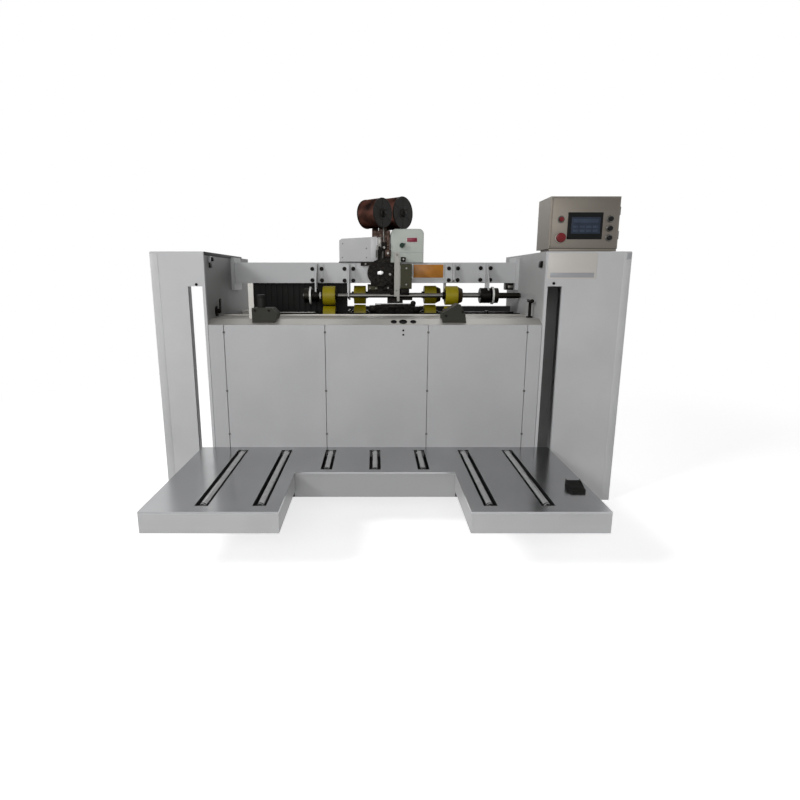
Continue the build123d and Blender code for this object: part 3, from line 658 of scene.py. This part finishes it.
def makeWallFittings():
    w = wallFittings
    wall = -w["face"]
    band = block((wall, wall + 3.5), w["bandY"], w["bandZ"], "inside", 0.8)
    joined([band], "leftWallTopBand")
    z0, z1 = w["lampZ"]
    lampFront = wall + 14.5
    lampBase = block((wall, lampFront), w["lampY"], (z0, z1), "labelBand", 2)
    lampMiddle = (lampFront, sum(w["lampY"]) / 2, (z0 + z1) / 2)
    lampHead = turned([(0, 13), (9, 13), (12, 10)], lampMiddle, toRight)
    socket = block((wall, wall + 10.5), w["lampY"], (z0 - 34, z0 - 4), "black", 2)
    joined([lampBase, lampHead, socket], "leftWallSwitch")
    z0, z1 = w["leverZ"]
    y = w["leverY"]
    pad = turned([(0, 34), (8, 34), (10, 30), (10, 14), (24, 14)], (wall, y, z0 + 28), toRight)
    x = wall + 18.5
    arm = slab([(x, y - 12, z0 + 14), (x, y + 12, z0 + 14), (x, y + 30, z1 - 6),
                (x, y + 14, z1), (x, y - 2, z1 - 8)], (9, 0, 0), "black", 2)
    joined([pad, arm], "leftWallLever")
    box = block((w["face"] - 15.5, w["face"]), w["boxY"], w["boxZ"], "black", 2)
    joined([box], "rightWallBox")
    x, y = w["handleX"], w["handleY"]
    z0, z1 = w["handleZ"]
    stem = turned([(0, 20), (8, 20), (10, 9), (z1 - z0 - 10, 9), (z1 - z0, 12)], (x, y, z0), upward)
    grip = turned([(0, 7), (4, 10), (74, 10), (84, 12), (88, 8)], (x, y + w["gripOut"], z1 + 2),
                  toFront)
    joined([stem, grip], "rightDeckHandle")
    lug = block(w["lugX"], w["lugY"], w["lugZ"], "black", 3)
    slot = block((950, 990), (584, 590), (1342, 1362), "dull", 1)
    joined([lug, slot], "beamEndSwitch")
    print("wall fittings made")


# Beam, guides and deck

beamBolts = [(-441.5, 1478), (-376.5, 1478), (-375, 1399), (-442, 1400), (-215, 1478),  # x, z
             (-153, 1478), (-215, 1397), (-153, 1397), (521, 1481), (584, 1481), (521, 1400),
             (584, 1401), (744, 1483), (814, 1483), (744, 1402), (814, 1402)]
beamFront = 557
amberPlate = {
    "x": (272, 480), "y": (554, 560), "z": (1417, 1507),
    "screwX": (264, 480.5), "screwY": 559, "screwZ": (1416, 1506),
}
coverStrip = {"x": (-743, -430), "y": (590, 606.5), "z": (1168, 1173)}  # at the ribbed cover's foot
lipHoles = ((115, 19), (172, 25), (234, 19))  # x, radius
lip = {"run": 60, "low": 1138, "high": 1168}
guideTrim = {
    "knob": (-701, 78, 1237),
    "screwY": 20,
    "screws": ((-728, 1222), (-644, 1222), (432, 1190), (532, 1214)),  # x, z
}


def makeBeamTrim():
    hexBolts("beamBolts", [(x, beamFront, z) for x, z in beamBolts], toFront, 11)
    a = amberPlate
    sheet = block(a["x"], a["y"], a["z"], "amber", 1.2)
    joined([sheet], "amberSheet")
    screws("amberScrews", [(x, a["screwY"], z) for x in a["screwX"] for z in a["screwZ"]],
           toFront, 3, material="ground")
    strip = block(coverStrip["x"], coverStrip["y"], coverStrip["z"], "deck", 0.8)
    joined([strip], "coverFootStrip")
    slope = math.atan2(lip["high"] - lip["low"], lip["run"])
    normal = (0, -math.sin(slope), math.cos(slope))
    rims = []
    for x, radius in lipHoles:
        place = (x, lip["run"] / 2, (lip["low"] + lip["high"]) / 2)
        rims.append(turned([(-7, radius - 0.4), (1.6, radius - 0.4), (1.6, radius - 3),
                            (-5, radius - 3.4)], place, normal, "rubber", 40))
    joined(rims, "lipHoleGrommets")
    g = guideTrim
    knob = turned([(58, 24.5), (60, 27), (64, 27.5), (74, 27.5), (78, 25), (80, 12)],
                  g["knob"], upward, "rubber", 12)
    joined([knob], "guideClampKnob")
    screws("guideScrews", [(x, g["screwY"], z) for x, z in g["screws"]], toFront, 6)
    print("beam and deck trim made")


# Feed shafts and wheels

wheelRows = {  # body: shaft y, shaft z, wheel x
    "upper_front_roll": (frontShaftY, upperShaftZ, (-317, 530)),
    "lower_front_roll": (frontShaftY, lowerShaftZ, (-317, 530)),
    "upper_rear_roll": (rearShaftY, upperShaftZ, (-109, 399)),
    "lower_rear_roll": (rearShaftY, lowerShaftZ, (-109, 399)),
}
wheelLook = {
    "hubFace": 40,  # from the middle of the wheel
    "hubRadius": 46,
    "boltCircle": 34,
    "bolts": 5,
    "firstBolt": 18,  # degrees
    "collar": 25,
    "collarWidth": 15,
}
housingRings = [(-430, 45.8), (-398, 45.8), (736, 52.8), (764, 52.8), (794, 52.8)]  # x, radius
shaftDiscs = (-453, 810)
discShape = [(0, 53), (-0.4, 54), (-0.4, 59.6), (0.4, 60.4), (11.6, 60.4), (12.4, 59.6),
             (12.4, 54), (12, 53)]
shaftCollar = -386.2
collarShape = [(0, 22), (0, 23.4), (1, 24.5), (24, 24.5), (25.4, 23.4), (25.4, 17)]


def makeWheelTrim():
    k = wheelLook
    face, radius, collar = k["hubFace"], k["hubRadius"], k["collar"]
    end = face + 3 + k["collarWidth"]
    hubShape = [(face - 1, radius), (face + 1.5, radius), (face + 2.5, radius - 2),
                (face + 2.5, collar + 2), (face + 4, collar), (end, collar), (end + 2, collar - 2.5)]
    boltShape = [(face + 2, 4.2), (face + 5.5, 4.2), (face + 6, 3.4)]
    for body, (y, z, wheels) in wheelRows.items():
        upper = body.startswith("upper")
        pieces = []
        for x in wheels:
            for side in (-1, 1):
                if upper and x > 0 and side > 0:
                    continue  # the taper covers this face
                facing = (side, 0, 0)
                pieces.append(turned(hubShape, (x, y, z), facing, "black", 40))
                for i in range(k["bolts"]):
                    turn = math.radians(360 / k["bolts"] * i + k["firstBolt"])
                    place = (x, y + k["boltCircle"] * math.cos(turn),
                             z + k["boltCircle"] * math.sin(turn))
                    pieces.append(turned(boltShape, place, facing, "dull", 10))
        joined(pieces, body + "Hubs", body)
    rings = [turned([(-3, size), (3, size), (4, size - 1.2)], (x, frontShaftY, upperShaftZ), toRight,
                    "black", 48) for x, size in housingRings]
    joined(rings, "housingRings")
    discs = [turned(discShape, (x, frontShaftY, upperShaftZ), toRight, "zinc", 64)
             for x in shaftDiscs]
    collarRing = turned(collarShape, (shaftCollar, frontShaftY, upperShaftZ), toRight, "zinc", 40)
    joined(discs + [collarRing], "shaftDiscFaces", "upper_front_roll")
    print("wheel trim made")


# Stitching head

headLook = {
    "coverFront": 541,
    "badgeX": (222, 291), "badgeZ": (1661, 1688), "badgeRim": 4,
    "knob": (187, 1637, 17),  # x, z, radius
    "bandX": (-30, 13),  # the casing's end band
    "bandY": 558.4,
    "casingScrews": ((-60, 1618), (-60, 1556), (-228, 1556), (-226, 1650)),  # x, z
    "hub": (38, 1450),  # the drive wheel's axle, x and z
    "boltCircle": 52,
    "bolts": 6,
}


def makeHeadTrim():
    h = headLook
    x0, x1 = h["bandX"]
    y = h["bandY"]
    band = slab([(x0, y, 1523), (x1, y, 1523), (x1, y, 1697.6), (x0, y, 1694.4)],
                (0, 2.4, 0), "panel", 0.6)
    foot = block((-254, 16), (556, 762), (1521.5, 1528), "inside", 1)
    joined([band, foot], "casingEndBand")
    screws("casingScrews", [(x, 560, z) for x, z in h["casingScrews"]], toFront, 4, material="dull")
    badge = block(h["badgeX"], (h["coverFront"] - 4, h["coverFront"]), h["badgeZ"], "badge", 1)
    rimX = (h["badgeX"][0] - h["badgeRim"], h["badgeX"][1] + h["badgeRim"])
    rimZ = (h["badgeZ"][0] - h["badgeRim"], h["badgeZ"][1] + h["badgeRim"])
    rim = block(rimX, (538.6, 540.6), rimZ, "label", 0.8)
    joined([rim, badge], "coverBadge")
    x, z, radius = h["knob"]
    knob = turned([(0, radius * 0.6), (8, radius * 0.6), (9, radius), (25, radius),
                   (28, radius * 0.85)], (x, h["coverFront"] - 1, z), toFront, "green", 14)
    pointer = block((x + 2, x + 24), (513, 519), (z + 4, z + 13), "green", 1.5)
    joined([knob, pointer], "coverKnob")
    bit = block((180, 214), (524, 542), (1526, 1558), "black", 4)
    pin = turned([(0, 8), (10, 8), (12, 6)], (197, 526, 1542), toFront, "dull", 20)
    joined([bit, pin], "coverLatch")
    seam = block((109.4, 338.6), (539.2, 545), (1588, 1590.5), "labelBand", 0.4)
    joined([seam], "coverSeam")
    link = slab([(17, 485, 1440), (24, 485, 1437), (52, 485, 1442), (59, 485, 1450),
                 (54, 485, 1461), (40, 485, 1464), (20, 485, 1458), (15, 485, 1449)],
                (0, 6, 0), "chrome", 1.5)
    x, z = h["hub"]
    nut = turned([(0, 15), (8, 15), (9, 13)], (x, 488, z), toFront, "chrome", 6)
    joined([link, nut], "flywheelNut", "drive_flywheel")
    wheelBolts = []
    for i in range(h["bolts"]):
        turn = math.radians(360 / h["bolts"] * i)
        wheelBolts.append((x + h["boltCircle"] * math.cos(turn), 506,
                           z + h["boltCircle"] * math.sin(turn)))
    screws("flywheelScrews", wheelBolts, toFront, 6, "drive_flywheel")
    makeMechanism()


mechanism = [  # x, y and z of each block, material
    ((18, 44), (538, 552), (1612, 1694), "dull"),
    ((12, 32), (552, 560), (1524, 1640), "dull"),
    ((26, 82), (598, 604), (1736, 1762), "brown"),
    ((82, 104), (540, 556), (1600, 1716), "brown"),
    ((40, 84), (548, 560), (1606, 1660), "black"),
    ((26, 60), (530, 546), (1580, 1624), "black"),
    ((70, 108), (528, 546), (1560, 1608), "brown"),
    ((84, 124), (512, 545), (1400, 1456), "black"),
    ((92, 120), (508, 516), (1424, 1500), "dull"),
    ((-48, 128), (538, 545.5), (1306, 1316), "black"),
    ((-50, 20), (534, 545.5), (1330, 1358), "olive"),
    ((60, 128), (530, 545.5), (1326, 1366), "black"),
    ((104, 130), (470, 520), (1300, 1330), "black"),
    ((176, 236), (452, 520), (1300, 1342), "black"),
    ((196, 262), (500, 560), (1262, 1302), "black"),
]
mechanismPins = [  # x, y, z, radius, length, material
    (31, 538, 1624, 8, 10, "black"), (93, 540, 1640, 12, 16, "brown"),
    (62, 548, 1622, 10, 14, "dull"), (43, 530, 1602, 11, 14, "black"),
    (89, 528, 1584, 9, 12, "dull"), (104, 512, 1440, 10, 12, "dull"),
    (-36, 534, 1344, 6, 8, "dull"), (6, 534, 1344, 6, 8, "dull"),
    (92, 530, 1346, 7, 10, "dull"), (214, 440, 1480, 7, 6, "dull"),
    (214, 440, 1372, 7, 6, "dull"), (266, 486, 1242, 18, 22, "black"),
    (-66, 545, 1511, 7, 8, "dull"), (148, 440, 1570, 7, 7, "dull"),
    (148, 440, 1330, 6, 6, "dull"),
]
wireGuide = {
    "foot": (66, 590, 1604),
    "along": (-0.05, 0.04, 1),
    "shape": [(0, 5.5), (160, 5.5), (162, 4)],
}
spring = {
    "coils": 9,
    "pitch": 6,
    "inner": 9.5,
    "outer": 11.5,
    "feet": ((54, 536, 1548), (16, 536, 1556)),
}
anvilPlates = [  # x, y and z of each block, bevel
    ((40, 262), (484, 508), (1228, 1236), 1.2),
    ((96, 204), (472, 486), (1208, 1224), 2),
    ((-40, 34), (560, 640), (1170, 1222), 3),
    ((258, 322), (552, 640), (1168, 1214), 3),
]


def makeMechanism():
    pieces = [block(x, y, z, material, 2) for x, y, z, material in mechanism]
    for x, y, z, radius, length, material in mechanismPins:
        pieces.append(turned([(0, radius), (length - 2, radius), (length, radius * 0.8),
                              (length, radius * 0.4), (length - 2, radius * 0.35)],
                             (x, y, z), toFront, material, 20))
    pieces.append(turned(wireGuide["shape"], wireGuide["foot"], wireGuide["along"], "dull", 16))
    turns = []
    for i in range(spring["coils"]):
        start = i * spring["pitch"]
        turns += [(start, spring["inner"]), (start + 2, spring["outer"]), (start + 4, spring["inner"])]
    for foot in spring["feet"]:
        pieces.append(turned(turns, foot, upward, "dull", 20))
    joined(pieces, "headMechanism")
    joined([block(x, y, z, "black", bevel) for x, y, z, bevel in anvilPlates], "anvilPlates")
    print("head made")


# Wire reels

reels = {  # body: middle of the front face, radius
    "left_reel": ((54, 500, 1850), 98),
    "right_reel": ((200, 662, 1868), 112),
}
reelLook = {
    "turn": -41,  # degrees from facing right
    "width": 150,
    "bare": 6,  # of the width at each end, without wire
    "wire": 3.0,  # mm across one turn of wire, drawn coarser than the real 2 mm
    "hub": 46,
    "spokes": 6,
    "firstSpoke": 30,  # degrees
    "spokeHalf": 2.5,
    "spokeProud": 2.2,
}


def makeReels():
    r = reelLook
    angle = math.radians(r["turn"])
    forward = Vector((math.cos(angle), math.sin(angle), 0))
    sideways = Vector((-forward[1], forward[0], 0))
    for body, (place, radius) in reels.items():
        turns = []
        for i in range(int((r["width"] - 2 * r["bare"]) / r["wire"])):
            start = -r["width"] + r["bare"] + i * r["wire"]
            turns += [(start, radius - 3.3), (start + r["wire"] * 0.5, radius - 1.6)]
        turns.append((-r["bare"], radius - 3.3))
        joined([turned(turns, place, forward, "wire", 64)], body + "Wire", body)
        rim = [(0, radius - 0.6), (1.4, radius - 0.6), (2, radius - 2), (2, radius - 7),
               (0.6, radius - 9)]
        hubShape = [(0.6, r["hub"]), (3, r["hub"] - 2), (3, 32), (6.5, 31), (14, 27), (14, 18),
                    (10, 16), (10, 12), (22, 12), (24, 9)]
        front = turned(rim + hubShape, place, forward, "spool", 64)
        cap = turned([(7, 30.6), (15, 26), (17, 24), (17, 10)], place, forward, "black", 48)
        middle = Vector(place)
        back = turned(rim + [(0.6, 40)], middle - forward * r["width"], -forward, "spool", 64)
        pieces = [front, cap, back]
        for i in range(r["spokes"]):
            turn = math.radians(360 / r["spokes"] * i + r["firstSpoke"])
            spoke = sideways * math.cos(turn) + Vector((0, 0, math.sin(turn)))
            half = (sideways * -math.sin(turn) + Vector((0, 0, math.cos(turn)))) * r["spokeHalf"]
            inner, outer = middle + spoke * r["hub"], middle + spoke * (radius - 8)
            corners = [inner + half, inner - half, outer - half, outer + half]
            pieces.append(slab(corners, forward * r["spokeProud"], "spool", 0.6))
        joined(pieces, body + "Flanges", body)
    print("reels made")


# Control box

boxLook = {
    "screenX": (1143, 1312), "screenZ": (1670, 1764), "screenY": (-7, -5.4),
    "fieldY": (-7.4, -6.6),
    "fieldStart": (12, 10),  # x and z, from the display's lower left corner
    "fieldStep": (38, 22),
    "fieldSize": (30, 14),
    "barSize": (144, 22), "barHeight": 52,
    "start": (1083, 1751), "stop": (1083, 1647),
    "others": ((1371, 1754), (1371, 1700), (1371, 1647)),
    "doorX": (1032, 1414), "doorZ": (1597, 1868),
    "hingeZ": (1640, 1776),
}


def makeControlBox():
    b = boxLook
    glass = block(b["screenX"], b["screenY"], b["screenZ"], "screen", 0.4)
    fields = []
    x0, z0 = b["screenX"][0] + b["fieldStart"][0], b["screenZ"][0] + b["fieldStart"][1]
    wide, tall = b["fieldSize"]
    for row in range(2):
        for column in range(4):
            left, low = x0 + column * b["fieldStep"][0], z0 + row * b["fieldStep"][1]
            fields.append(block((left, left + wide), b["fieldY"], (low, low + tall), "screenPale",
                                0.3))
    wide, tall = b["barSize"]
    low = z0 + b["barHeight"]
    fields.append(block((x0, x0 + wide), b["fieldY"], (low, low + tall), "screenPale", 0.3))
    joined([glass] + fields, "displayGlass")
    rings = []
    for x, z in (b["start"],) + b["others"]:
        rings.append(turned([(0, 20.5), (3, 20.5), (5, 18.6), (6, 18.2), (6, 14.2), (5, 14)],
                            (x, 0, z), toFront, "dull", 40))
        rings.append(turned([(12, 13.2), (14.6, 13.2), (16, 11.8), (15.2, 7)], (x, 0, z),
                            toFront, "red" if (x, z) == b["start"] else "button", 40))
    x, z = b["stop"]
    rings.append(turned([(0, 26), (2.4, 26), (3.4, 24.6)], (x, 0, z), toFront, "label", 40))
    joined(rings, "buttonRings")
    (x0, x1), (z0, z1) = b["doorX"], b["doorZ"]
    door = slab([(x0, -1.2, z0), (x1, -1.2, z0), (x1, -1.2, z1), (x0, -1.2, z1)],
                (0, 1.6, 0), "box", 0.5)
    apron = block((1024, 1422), (6, 10), (1571, 1590), "box", 0.6)
    hinges = [turned([(0, 7), (46, 7), (48, 5)], (1425, 12, z), upward, "dull", 20)
              for z in b["hingeZ"]]
    joined([door, apron] + hinges, "boxDoor")
    slots = [block((1425.2, 1428), (80, 180), (z, z + 5), "inside", 0.8)
             for z in range(1650, 1760, 14)]
    joined(slots, "boxVents")
    screws("boxScrews", [(x, 0, z) for x in (1026.5, 1419.5) for z in (1598, 1867)], toFront, 3,
           material="dull")
    print("control box made")


# Table and foot switch

rollerLook = {
    "pitch": 274,
    "radius": 19,
    "axis": 345,
    "rear": -64,
    "longFront": -805,
    "shortFront": -357,
    "bandWidth": 9,
}
traySides = [((-34, 34), (316, 319)), ((-36, -33.5), (316, 350)), ((33.5, 36), (316, 350))]  # x, z
legNuts = {"x": (-1040, -610, 610, 1040), "y": -375, "z": (12, 58)}
switchLook = {
    "x": (988, 1052),
    "y": (-670, -596),
    "tread": (376, 392),  # height of the pedal at its front and rear
    "ribs": 6,
    "ribPitch": 12,
    "bootPlace": (1000, -587, 368),
}


def makeTableTrim():
    r = rollerLook
    size, width = r["radius"], r["bandWidth"]
    bandShape = [(0, size - 0.8), (0.6, size + 0.25), (width, size + 0.25), (width + 0.6, size - 0.8)]
    for number in range(1, 8):
        step = number - 4  # from the middle roller
        x = step * r["pitch"]
        front = r["shortFront"] if abs(step) < 2 else r["longFront"]
        bands = [turned(bandShape, (x, y, r["axis"]), toRear, "rubber", 32)
                 for y in (front + 6, r["rear"] - 16)]
        joined(bands, f"roller{number}Bands", f"roller_{number}")
        sides = [block((x + low, x + high), (front - 8, r["rear"] + 8), z, "inside", 1)
                 for (low, high), z in traySides]
        joined(sides, f"roller{number}Tray")
    nuts = [turned([(0, 17), (9, 17), (10, 15)], (x, legNuts["y"], z), upward, "ground", 6)
            for x in legNuts["x"] for z in legNuts["z"]]
    joined(nuts, "levellingNuts")
    s = switchLook
    x0, x1 = s["x"]
    y0, y1 = s["y"]
    low, high = s["tread"]
    pieces = []
    for i in range(s["ribs"]):
        y = y0 + 6 + i * s["ribPitch"]
        z = low + (y - y0) * (high - low) / (y1 - y0)
        pieces.append(block((x0 + 5, x1 - 5), (y, y + 4), (z - 1, z + 2.2), "rubber", 0.8))
    for x in (x0 - 4.5, x1 + 1.5):
        pieces.append(slab([(x, y0 + 2, 373), (x, y1 + 6, 373), (x, y1 + 6, 399), (x, y1 - 18, 395)],
                           (3, 0, 0), "rubber", 0.8))
    pieces.append(turned([(0, 10), (4, 10), (6, 8.4), (10, 8.8), (12, 7.6), (16, 8), (18, 6.8)],
                         s["bootPlace"], toRear, "rubber", 20))
    joined(pieces, "footSwitchTrim")
    print("table trim made")


makeCamera()
dressNodes()
makeStage()
makeLight()
makeColumnTrim()
makeWallFittings()
makeBeamTrim()
makeWheelTrim()
makeHeadTrim()
makeReels()
makeControlBox()
makeTableTrim()
